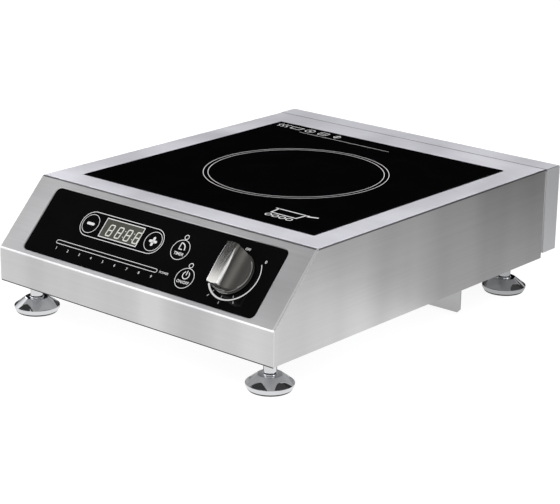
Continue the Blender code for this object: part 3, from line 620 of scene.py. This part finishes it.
# ---- case ----
def case_solid(inset, rear, bottom):
    """The case seen from the side, moved inwards by inset and carried from side to side."""
    half = COVER_HIGH.x - inset
    low_shift = inset * tan((pi / 2 - SLOPE) / 2)
    top_shift = inset * tan(SLOPE / 2)
    front, top = COVER_LOW.y + inset, COVER_HIGH.z - inset
    outline = [(front, bottom), (front, APRON_TOP - low_shift),
               (COVER_LOW.y + FASCIA_DEPTH + top_shift, top), (rear, top), (rear, bottom)]
    return side_prism(outline, -half, half)


def fold_case(cover):
    """Rounds the folded edges, and the welded front corners by less."""
    fold_r, weld_r = 0.0015, 0.0007
    weights = cover.data.attributes.new("bevel_weight_edge", "FLOAT", "EDGE")
    for edge in cover.data.edges:
        a, b = (cover.data.vertices[k].co for k in edge.vertices)
        is_open = max(a.z, b.z) < COVER_LOW.z + TOUCH or min(a.y, b.y) > COVER_HIGH.y - TOUCH
        is_welded = abs(a.x - b.x) < TOUCH and min(a.z, b.z) < COVER_HIGH.z - 1e-3
        weights.data[edge.index].value = 0.0 if is_open else weld_r / fold_r if is_welded else 1.0
    bends = cover.modifiers.new("bends", "BEVEL")
    bends.limit_method, bends.width, bends.segments, bends.profile = "WEIGHT", fold_r, 7, 0.5
    applied(cover)


def make_case():
    """The main cover, one folded sheet with its two openings, and a dark strip under its apron as a painted shadow
    line along its bottom edge.
    """
    rear, bottom, top = COVER_HIGH.y, COVER_LOW.z, COVER_HIGH.z
    reach, clearance, spare = 0.003, 0.0007, 0.01
    glass_corner, window_corner, glass_edge, window_edge = 0.0015, 0.0055, 0.00028, 0.00065
    cover = piece("case_cover", case_solid(0, rear, bottom))
    fold_case(cover)
    carve(cover, case_solid(SHEET, rear + spare, bottom - spare))
    top_face = Matrix.Translation((0, (GLASS_LOW.y + GLASS_HIGH.y) / 2, top))
    opening = (GLASS_HIGH - GLASS_LOW).xy + 2 * Vector((clearance, clearance))
    window, middle = Vector(PANEL_WINDOW), Vector((0, PANEL_V))
    carve(cover, prism(rounded_rectangle(*opening, glass_corner, 3), -reach, reach), top_face)
    carve(cover, prism(rounded_rectangle(*window, window_corner, 8, middle), -reach, reach), FASCIA)
    margin = Vector((0.002, 0.002))
    soften_rim(cover, glass_edge, 2, top_face, -opening / 2 - margin, opening / 2 + margin)
    soften_rim(cover, window_edge, 1, FASCIA, middle - window / 2 - margin, middle + window / 2 + margin)
    finished(cover, "case_steel", "chassis", "case_steel", "top_cover")

    # painted shadow: a black strip under the apron's front edge stands in for the dark line there
    inset, front, half = 0.0001, COVER_LOW.y, COVER_HIGH.x - 0.0010
    strip = piece("apron_edge_shadow_strip", block((-half, front + inset, bottom - 0.0010),
                                           (half, front + SHEET, bottom + inset)))
    finished(strip, "seal", "chassis", "seal")


def cut_rear_holes(cover):
    """Exhaust slots, the gland's hole and the two screw holes."""
    slots, pitch, slot_width, slot_low, slot_high = 19, 0.011, 0.0040, 0.0633, 0.1053
    depth = 0.004
    holes = []
    for k in range(slots):
        centre = ((k - slots // 2) * pitch, (slot_low + slot_high) / 2)
        slot = rounded_rectangle(slot_width, slot_high - slot_low, 0.0019, 5, centre)
        holes.append(prism(slot, -depth, depth))
    carve(cover, several(holes), REAR_FACE)
    for name, radius, segments in (("cable_gland", 0.0081, 40), ("rear_screw_left", 0.0023, 20),
                                   ("rear_screw_right", 0.0023, 20)):
        carve(cover, rod(radius, -depth, depth, segments), rear_axis(name))


def rear_axis(name):
    """The frame of a part on the rear face: Z points out to the rear."""
    middle = middle_of(name)
    return Matrix.Translation((middle.x, REAR_HIGH.y, middle.z)) @ ALONG_Y


def make_rear_cover():
    """The strip behind the seam, with two tongues that close the seam at the sides, and the gasket
    in the seam."""
    seam, fold_r, corner, spare, inset = 0.0008, 0.0015, 0.0012, 0.01, 0.0001
    low, high = REAR_LOW + Vector((0, seam, 0)), REAR_HIGH
    cover = piece("rear_strip", block(low, high))

    def folded(a, b):
        return max(a.z, b.z) > low.z + TOUCH and max(a.y, b.y) > low.y + TOUCH

    def front_upright(a, b):
        return max(a.y, b.y) < low.y + TOUCH and abs(a.x - b.x) < TOUCH

    soften(cover, fold_r, 6, folded)
    soften(cover, corner, 1, front_upright)
    carve(cover, block((low.x + SHEET, low.y - spare, low.z + SHEET),
                       (high.x - SHEET, high.y - SHEET, high.z - SHEET)))
    for side in (-1, 1):
        inner, outer = side * (COVER_HIGH.x - SHEET), side * (COVER_HIGH.x - inset / 2)
        carve(cover, block((min(inner, outer), COVER_HIGH.y + inset, low.z),
                           (max(inner, outer), low.y + 0.001, COVER_HIGH.z - 0.0020)), operation="UNION")
    cut_rear_holes(cover)
    margin = 0.004
    soften_rim(cover, 0.00025, 2, REAR_FACE, (-0.163, low.z + margin), (0.163, high.z - margin))
    finished(cover, "rear_steel", "chassis", "case_steel", "rear_cover")

    half, top = COVER_HIGH.x - SHEET, COVER_HIGH.z
    strip = piece("seam_gasket", block((-half, COVER_HIGH.y - inset, top - 0.0011),
                                       (half, low.y + inset, top - inset / 2)))
    finished(strip, "seal", "chassis", "seal")


def make_baffle():
    """The hanging plate, bent from one strip with its fixing flange."""
    low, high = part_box("air_baffle")
    bend, corner, spare, edge = 0.0022, 0.0035, 0.01, 0.0002
    bend_centre = (low.y + bend, high.z - bend)
    outline = [(low.y, low.z), *arc(bend_centre, bend, 180, 90, 6), (high.y, high.z),
               (high.y, high.z - SHEET), *arc(bend_centre, bend - SHEET, 90, 180, 6), (low.y + SHEET, low.z)]
    plate = piece("baffle_plate", side_prism(outline, low.x, high.x))
    front = [(low.x - spare, high.z + spare), (low.x - spare, low.z + corner), (low.x, low.z + corner),
             (low.x + corner, low.z), (high.x - corner, low.z), (high.x, low.z + corner),
             (high.x + spare, low.z + corner), (high.x + spare, high.z + spare)]
    carve(plate, prism(front, -1, 1), UPRIGHT, "INTERSECT")
    soften(plate, edge, 2, lambda a, b: True)
    # painted shade: the plate's darker finish stands in for the shade under the hob
    finished(plate, "painted_shade_baffle_steel", "chassis", "case_steel", "air_baffle")


# ---- print ----
class Print:
    """Flat marks, drawn in millimetres in a frame's X and Y and raised a little above its plane."""

    def __init__(self, name, place, lift=0.00003, thickness=0.00004):
        self.name, self.place, self.lift, self.thickness = name, place, lift, thickness
        self.shapes, self.words = [], []

    def region(self, outline):
        self.shapes.append(prism([(x / 1000, y / 1000) for x, y in outline], self.lift,
                                 self.lift + self.thickness))

    def line(self, points, width, closed=False, end_width=None, round_ends=True):
        """A stroke of one width, or of a width that runs from width to end_width."""
        count = len(points)
        end_width = width if end_width is None else end_width
        left, right = [], []
        for i, (x, y) in enumerate(points):
            before = points[(i - 1) % count] if closed or i else (x, y)
            after = points[(i + 1) % count] if closed or i < count - 1 else (x, y)
            ahead = Vector((after[0] - x, after[1] - y))
            behind = Vector((x - before[0], y - before[1]))
            ahead = ahead.normalized() if ahead.length else behind.normalized()
            behind = behind.normalized() if behind.length else ahead
            middle = (ahead + behind).normalized()
            half = (width + (end_width - width) * i / (count - 1)) / 2
            half /= max(middle.dot(ahead), 0.5)
            side = Vector((-middle.y, middle.x)) * half
            left.append((x + side.x, y + side.y))
            right.append((x - side.x, y - side.y))
        if closed:
            self.band(left, right)
            return
        if round_ends:
            left = self.cap(points[0], right[0]) + left
            right += self.cap(points[-1], left[-1])[::-1]
        self.region(left + right[::-1])

    @staticmethod
    def cap(centre, start, steps=6):
        """Half a circle of points clockwise from start about a centre, without its two ends."""
        reach = Vector((start[0] - centre[0], start[1] - centre[1]))
        first = atan2(reach.y, reach.x)
        return [(centre[0] + reach.length * cos(first - pi * k / steps),
                 centre[1] + reach.length * sin(first - pi * k / steps)) for k in range(1, steps)]

    def band(self, outer, inner):
        """The closed strip between two outlines with the same number of points."""
        count = len(outer)
        verts = [(x / 1000, y / 1000, z) for z in (self.lift, self.lift + self.thickness)
                 for outline in (outer, inner) for x, y in outline]
        low_out, low_in, top_out, top_in = 0, count, 2 * count, 3 * count
        faces = []
        for i in range(count):
            j = (i + 1) % count
            faces += [(first + i, first + j, second + j, second + i)
                      for first, second in ((low_out, low_in), (top_out, top_in), (low_out, top_out),
                                            (low_in, top_in))]
        self.shapes.append((verts, faces))

    def circle(self, x, y, radius, width, steps=64):
        self.band(*(polygon(steps, radius + side * width / 2, (x, y)) for side in (1, -1)))

    def disc(self, x, y, radius, steps=24):
        self.region(polygon(steps, radius, (x, y)))

    def word(self, text, x, y, size, weight, squeeze=1.0):
        """Plain lettering centred on a point."""
        self.words.append((text, x / 1000, y / 1000, size / 1000, weight / 1000, squeeze))

    def set_word(self, text, x, y, size, weight, squeeze):
        """The object of one word."""
        data = bpy.data.curves.new("word", "FONT")
        data.body, data.size, data.offset = text, size, weight
        data.align_x, data.align_y = "CENTER", "CENTER"
        data.extrude = self.thickness / 2
        data.resolution_u = 4
        word = new_object("word", data)
        bpy.context.view_layer.update()
        mesh = bpy.data.meshes.new_from_object(word.evaluated_get(bpy.context.evaluated_depsgraph_get()))
        bpy.data.objects.remove(word, do_unlink=True)
        mesh.transform(self.place @ Matrix.Translation((x, y, self.lift + self.thickness / 2))
                       @ Matrix.Diagonal((squeeze, 1, 1, 1)))
        return new_object(self.name, mesh)

    def made(self, finish, body):
        parts = [piece(self.name, several(self.shapes), self.place)]
        parts += [self.set_word(*word) for word in self.words]
        joined = bmesh.new()
        for part in parts:
            joined.from_mesh(part.data)
            bpy.data.objects.remove(part, do_unlink=True)
        bmesh.ops.remove_doubles(joined, verts=joined.verts, dist=1e-7)
        mesh = bpy.data.meshes.new(self.name)
        joined.to_mesh(mesh)
        joined.free()
        mesh.materials.append(FINISHES[finish])
        obj = new_object(self.name, mesh)
        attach(obj, body)


def make_glass_print():
    """Cooking zone ring, a pan-on-coil mark in the front corner and a row of plain marks behind."""
    face = Matrix.Translation((0, 0, GLASS_HIGH.z))
    ring = Print("cooking_zone_print", face)
    for radius in (89.3, 84.7):
        ring.circle(1.0, 6.2, radius, 0.58, 160)
    ring.made("print", "chassis")

    mark = Print("pan_mark_print", face)
    x, y = 85.0, -108.0
    mark.line([(x - 16, y + 10), (x - 14.5, y - 3), (x + 14.5, y - 3), (x + 16, y + 10)], 1.5)
    mark.line([(x - 19, y + 10), (x + 19, y + 10)], 1.5)
    mark.line([(x + 19, y + 8), (x + 28, y + 11)], 2.2)
    for k in range(4):
        mark.line(polygon(28, 2.9, (x - 12 + 8 * k, y - 9.5)), 1.1, closed=True)
    mark.made("print", "chassis")

    row = Print("rear_mark_print", face)
    back, pitch, stroke = 139.5, 18.0, 0.9
    steam, pan, lamp, plate, switch = (-128.0 + pitch * k for k in range(5))
    for x in (steam - 5, steam, steam + 5):
        row.line([(x + 1.6 * sin(t * pi / 3), back - 5 + t * 1.25) for t in range(9)], stroke)
    row.line([(pan - 7, back + 2), (pan - 6, back - 4), (pan + 6, back - 4), (pan + 7, back + 2)], stroke)
    row.line([(pan - 8, back + 3), (pan + 8, back + 3)], stroke)
    row.circle(lamp, back, 5.2, stroke, 40)
    row.disc(lamp, back, 1.6)
    row.line(rounded_rectangle(10.5, 9.5, 1.6, 4, (plate, back)), stroke, closed=True)
    row.line([(plate - 3, back), (plate + 3, back)], stroke)
    row.line([(switch, back - 5), (switch, back + 5)], 1.3)
    row.line(arc((switch, back), 3.6, 120, 420, 24), 0.8)
    row.line([(steam + 30, back - 10.5), (steam + 147, back - 10.5)], 0.5, round_ends=False)
    row.made("print", "chassis")


def print_keys(ink, stroke):
    """The plus and minus keys in their frame, the timer key and the on/off key."""
    minus_x, plus_x, key_v, plus_minus_width = -81.1, -1.7, 47.6, 2.7
    ink.line(stadium(-80.1, -2.9, key_v, 12.65, 24), stroke, closed=True)
    for x in (minus_x, plus_x):
        ink.circle(x, key_v, 9.6, 0.54)
        ink.line([(x - 3.4, key_v), (x + 3.4, key_v)], plus_minus_width)
    for end in (-1, 1):
        ink.line([(plus_x, key_v + end * 1.2), (plus_x, key_v + end * 3.4)], plus_minus_width)
    for x, y in ((32.0, 47.2), (52.8, 22.9)):
        ink.circle(x, y, 9.9, 0.58)
        ink.circle(x - 0.1, y + 12.9, 2.2, 0.70, 28)
    ink.line([(29.7, 47.7), (29.7, 53.7)], 0.9)
    ink.line([(29.7, 47.7), (33.2, 47.7)], 0.9)
    ink.line(arc((30.0, 47.9), 6.1, 88, 0, 14), 1.1)
    ink.word("TIMER", 32.4, 43.1, 4.2, 0.05)
    ink.line(arc((52.7, 25.9), 3.6, 125, 415, 28), 0.9)
    ink.line([(52.7, 26.3), (52.7, 30.1)], 0.9)
    ink.word("ON/OFF", 52.9, 18.9, 4.0, 0.05, 0.98)


def print_power_bar(ink):
    """The slider for nine power levels."""
    ink.line(stadium(-106.3, 18.3, 21.9, 1.75, 10), 0.54, closed=True)
    for number in range(1, 10):
        ink.word(str(number), -104.2 + 15.15 * (number - 1), 15.4, 3.6, 0.04)
    ink.word("POWER", 28.5, 21.9, 2.9, 0.02, 1.08)


def make_panel_print():
    """Touch keys, power bar and knob scale. Millimetres: X across, Y up the slope."""
    ink = Print("panel_print", PANEL_FACE)
    print_keys(ink, 0.64)
    print_power_bar(ink)
    ink.line(arc((101.3, 40.1), 25.8, 33, -143, 96), 0.7, end_width=1.8)
    ink.word("OFF", 101.0, 64.6, 3.4, 0.05)
    ink.word("0", 125.6, 57.7, 4.0, 0.08)
    ink.made("print", "chassis")

    ticks = Print("panel_tick_print", PANEL_FACE)
    knob_centre = (KNOB_POINT.x * 1000, PANEL_V * 1000)
    for angle in (-60, -90, -120):
        for inner, outer in ((22.4, 24.2), (28.0, 29.8)):
            ticks.line([polar(knob_centre, radius, angle) for radius in (inner, outer)], 0.7)
    ticks.made("dim_print", "chassis")


def make_display():
    """A dark window with a border and four unlit seven-segment eights, each an outline with a bar
    across, that lean to the right."""
    frame_outline = rectangle((-65.1, 38.1), (-17.7, 57.3))
    window = Print("display_window", PANEL_FACE, 0.00002, 0.00002)
    window.region(frame_outline)
    window.made("display_plastic", "chassis")
    border = Print("display_border_print", PANEL_FACE, 0.00005)
    border.line(frame_outline, 0.85, closed=True)
    border.made("print", "chassis")

    digits = Print("display_digits", PANEL_FACE, 0.00005)
    half_height, half_width, lean, stroke = 5.6, 2.7, 0.6, 1.2
    eight = rounded_rectangle(2, 2, 0.32, 3)
    for k in range(4):
        x, y = -54.8 + 11.3 * k, 46.3
        outline, bar = ([(x + u * half_width + lean * v, y + v * half_height) for u, v in points]
                        for points in (eight, ((-0.9, 0), (0.9, 0))))
        digits.line(outline, stroke, closed=True)
        digits.line(bar, stroke, round_ends=False)
    for x in (-37.2, -25.9):
        for y in (43.4, 49.4):
            digits.disc(x, y, 0.55, 12)
    digits.made("digit", "chassis")


# ---- knob ----
def make_knob():
    """A turned cap scooped away on both sides, which leaves a grip bar with chamfered edges."""
    low, high, rim, ring = 0.0010, 0.0220, 0.0205, 0.0207
    chamfer, edge_r, groove, ring_top, groove_top = 0.0003, 0.0005, 0.0006, 0.0027, 0.0034
    profile = [(0, low), (ring - chamfer, low), (ring, low + chamfer), (ring, ring_top - chamfer),
               (ring - chamfer, ring_top), (rim - groove, ring_top + 0.0001), (rim - groove, groove_top),
               (rim, groove_top + chamfer), *arc((rim - edge_r, high - edge_r), edge_r, 0, 90, 6),
               (0, high)]
    knob = piece("knob_cap", turned(profile, 144), KNOB_FRAME)

    half_bar, scoop_low, steps, spare = 0.0059, 0.0050, 24, 0.003
    slant_x, slant_z = 0.0068, 0.0194
    scoop = [(rim - (rim - slant_x) * cos(t * pi / 2 / steps) ** 0.85,
              slant_z - (slant_z - scoop_low) * sin(t * pi / 2 / steps) ** 1.1) for t in range(steps + 1)]
    right = [(half_bar, high + 0.001), (half_bar, high - 0.0006), *scoop, (ring + spare, scoop_low),
             (ring + spare, low - spare)]
    reach = 0.03
    scooped = prism(right + [(-x, z) for x, z in reversed(right)], -reach, reach)
    carve(knob, scooped, KNOB_FRAME @ UPRIGHT, "INTERSECT")

    crown_r, crown_end, crown_low = 0.190, 0.024, low - 0.002
    crown = [(y / 1000, high - (y / 1000) ** 2 / (2 * crown_r)) for y in range(-24, 25)]
    crown = [(crown_end, crown_low), *reversed(crown), (-crown_end, crown_low)]
    carve(knob, side_prism(crown, -reach, reach), KNOB_FRAME, "INTERSECT")

    nut_r, nut_top, shaft_r, shaft_top = 0.0082, 0.0033, 0.0033, 0.0145
    bore = [(0, -low), (nut_r, -low), (nut_r, nut_top), (shaft_r, nut_top), (shaft_r, shaft_top),
            (0, shaft_top)]
    carve(knob, turned(bore, 32), KNOB_FRAME)

    def along_bar(a, b):
        return min(a.z, b.z) > 0.0190 and all(abs(abs(end.x) - half_bar) < 0.0002 for end in (a, b))

    def over_ring(a, b):
        return min(a.z, b.z) > 0.0040

    for width, segments, wanted in ((0.0004, 1, along_bar), (0.00018, 2, over_ring)):
        soften(knob, width, segments, wanted, 0.6, KNOB_FRAME.inverted())
    finished(knob, "knob_metal", "knob_assembly", "knob_metal", "knob", sharp=24)


# ---- feet ----
def make_foot(label, body):
    """A chrome cone with six wrench flats, a black ring in its sole as a painted contact shadow, and the plain
    sleeve that it screws up into."""
    name = f"foot_base_{label}"
    middle, top_z = middle_of(name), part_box(name)[1].z
    axis = Matrix.Translation((middle.x, middle.y, 0))
    sole_r, hollow_z, rim_r, rim_z, top_r, bevel = 0.0165, 0.0004, 0.0215, 0.0059, 0.0108, 0.0002
    collar_r, collar_z, bore_r, bore_z = 0.0066, top_z + 0.0007, 0.0046, 0.0100
    under = [(sole_r + (rim_r - sole_r) * sin(k * pi / 16), rim_z * (1 - cos(k * pi / 16)))
             for k in range(1, 8)]
    profile = [(0, hollow_z), (0.0130, hollow_z), (0.0136, 0), (sole_r, 0), *under,
               (rim_r, rim_z - bevel), (rim_r, rim_z + bevel / 2), (top_r + 2 * bevel, top_z - bevel),
               (top_r - bevel, top_z), (collar_r, top_z), (collar_r, top_z + 2 * bevel),
               (collar_r - 0.0005, collar_z), (bore_r, collar_z), (bore_r, bore_z), (0, bore_z)]
    foot = piece(f"foot_cone_{label}", turned(profile, 120), axis)

    flat_low, flat_high, first_corner = 0.948 * rim_r, top_r + 0.0011, -49.7
    lean = (flat_high - flat_low) / (top_z - rim_z)
    verts = []
    for z in (rim_z + bevel / 2, 0.020):
        apothem = flat_low + lean * (z - rim_z)
        verts += [(x, y, z) for x, y in polygon(6, apothem / cos(pi / 6), phase=first_corner)]
    keep = piece("keep", (verts, prism_faces(6)), axis)
    carve(keep, rod(0.03, -0.01, rim_z + 0.0003, 12), axis, "UNION")
    combine(foot, keep, "INTERSECT")
    finished(foot, "foot_chrome", body, "foot_chrome", name, sharp=4)

    # painted shadow: a black ring at the sole stands in for the contact shadow line
    shadow_in, shadow_out, shadow_low, shadow_high = 0.0150, 0.0190, 0.0001, 0.0013
    ring = [(shadow_in, shadow_low), (shadow_out, shadow_low), (shadow_out + 0.0009, shadow_high), (shadow_in, shadow_high)]
    finished(piece(f"foot_contact_shadow_{label}", turned(ring, 72), axis), "black_plastic", body, "black_plastic")

    sleeve_low, sleeve_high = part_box(f"foot_sleeve_{label}")
    inner, outer, chamfer = 0.0044, 0.0059, 0.0004
    tube = [(inner, sleeve_low.z), (outer - chamfer, sleeve_low.z), (outer, sleeve_low.z + chamfer),
            (outer, sleeve_high.z), (inner, sleeve_high.z)]
    post = piece(f"foot_post_{label}", turned(tube, 64), axis)
    finished(post, "foot_chrome", "chassis", "foot_chrome", f"foot_sleeve_{label}")


# ---- small parts at the back and inside ----
def make_screw(name):
    """Pan head with a cross recess."""
    axis = rear_axis(name)
    shank_r, tip, head_r, seat = 0.0019, -0.0105, 0.0037, 0.0003
    dome = [(head_r * cos(k * pi / 16), 0.0006 + 0.0018 * sin(k * pi / 16)) for k in range(8)]
    profile = [(0, tip), (shank_r, tip), (shank_r, seat), (head_r, seat), *dome, (0, 0.0024)]
    screw = piece(name + "_head", turned(profile, 40), axis)
    recess = block((-0.0018, -0.0004, 0.0011), (0.0018, 0.0004, 0.004))
    for turn in (0, pi / 2):
        carve(screw, recess, axis @ Matrix.Rotation(turn, 4, "Z"))
    finished(screw, "plated_metal", "chassis", "plated_metal", name)


def make_gland():
    """Plastic cable gland: hexagon, ribbed cap and an open bore."""
    axis = rear_axis("cable_gland")
    bore, thread, collar, cap = 0.0042, 0.0076, 0.0100, 0.0094
    seat, ribs = 0.0003, 18
    dome = [(0.0052 + 0.0042 * cos(k * pi / 14), 0.0108 + 0.0044 * sin(k * pi / 14)) for k in range(7)]
    profile = [(bore, -0.010), (thread, -0.010), (thread, seat), (collar, seat), (collar, 0.0056),
               (cap, 0.0060), (cap, 0.0100), *dome, (bore, 0.0152)]
    body = piece("gland_body", turned(profile, 64), axis)
    carve(body, prism(polygon(6, 0.0122), 0.0006, 0.0052), axis, "UNION")
    groove = placed(rod(0.0007, 0.0066, 0.02, 10), Matrix.Translation((0.0096, 0, 0)))
    around = [Matrix.Rotation(2 * pi * k / ribs, 4, "Z") for k in range(ribs)]
    carve(body, several([placed(groove, turn) for turn in around]), axis)
    carve(body, rod(bore, -0.02, 0.02, 40), axis)
    finished(body, "black_plastic", "chassis", "black_plastic", "cable_gland")


def make_winding():
    """The coil as a flat spiral of stranded wire."""
    centre = middle_of("induction_coil")
    inner, outer, wire, turns, steps = 0.0305, 0.0955, 0.0017, 19, 44
    curve = bpy.data.curves.new("coil_winding", "CURVE")
    curve.dimensions = "3D"
    curve.bevel_depth, curve.bevel_resolution, curve.use_fill_caps = wire, 2, True
    line = curve.splines.new("POLY")
    count = turns * steps
    line.points.add(count)
    for k in range(count + 1):
        angle, radius = 2 * pi * k / steps, inner + (outer - inner) * k / count
        line.points[k].co = (centre.x + radius * cos(angle), centre.y + radius * sin(angle), centre.z, 1)
    coil = new_object("coil_winding", curve)
    curve.materials.append(FINISHES["winding"])
    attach(coil, "chassis")
    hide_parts("induction_coil")


# ---- everything ----
FINISHES = make_finishes()
make_camera()
make_world()
make_floor()
make_mirrored_floor()
for lamp in LAMPS:
    make_lamp(*lamp)

make_case()
make_rear_cover()
make_baffle()
make_glass_print()
make_panel_print()
make_display()
make_knob()
for label, side in FEET.items():
    make_foot(label, f"{side}_foot")
for screw_name in ("rear_screw_left", "rear_screw_right"):
    make_screw(screw_name)
make_gland()
make_winding()

for node_name, node in frame["nodes"].items():
    # the base tray takes the darker tray finish, partly painted shade for the feet to mirror
    finish_name = "tray_steel" if node_name == "base_tray" else NODE_SLOTS[node_name]
    node.data.materials.clear()
    node.data.materials.append(FINISHES[finish_name])

bpy.context.scene.view_settings.view_transform = "Standard"
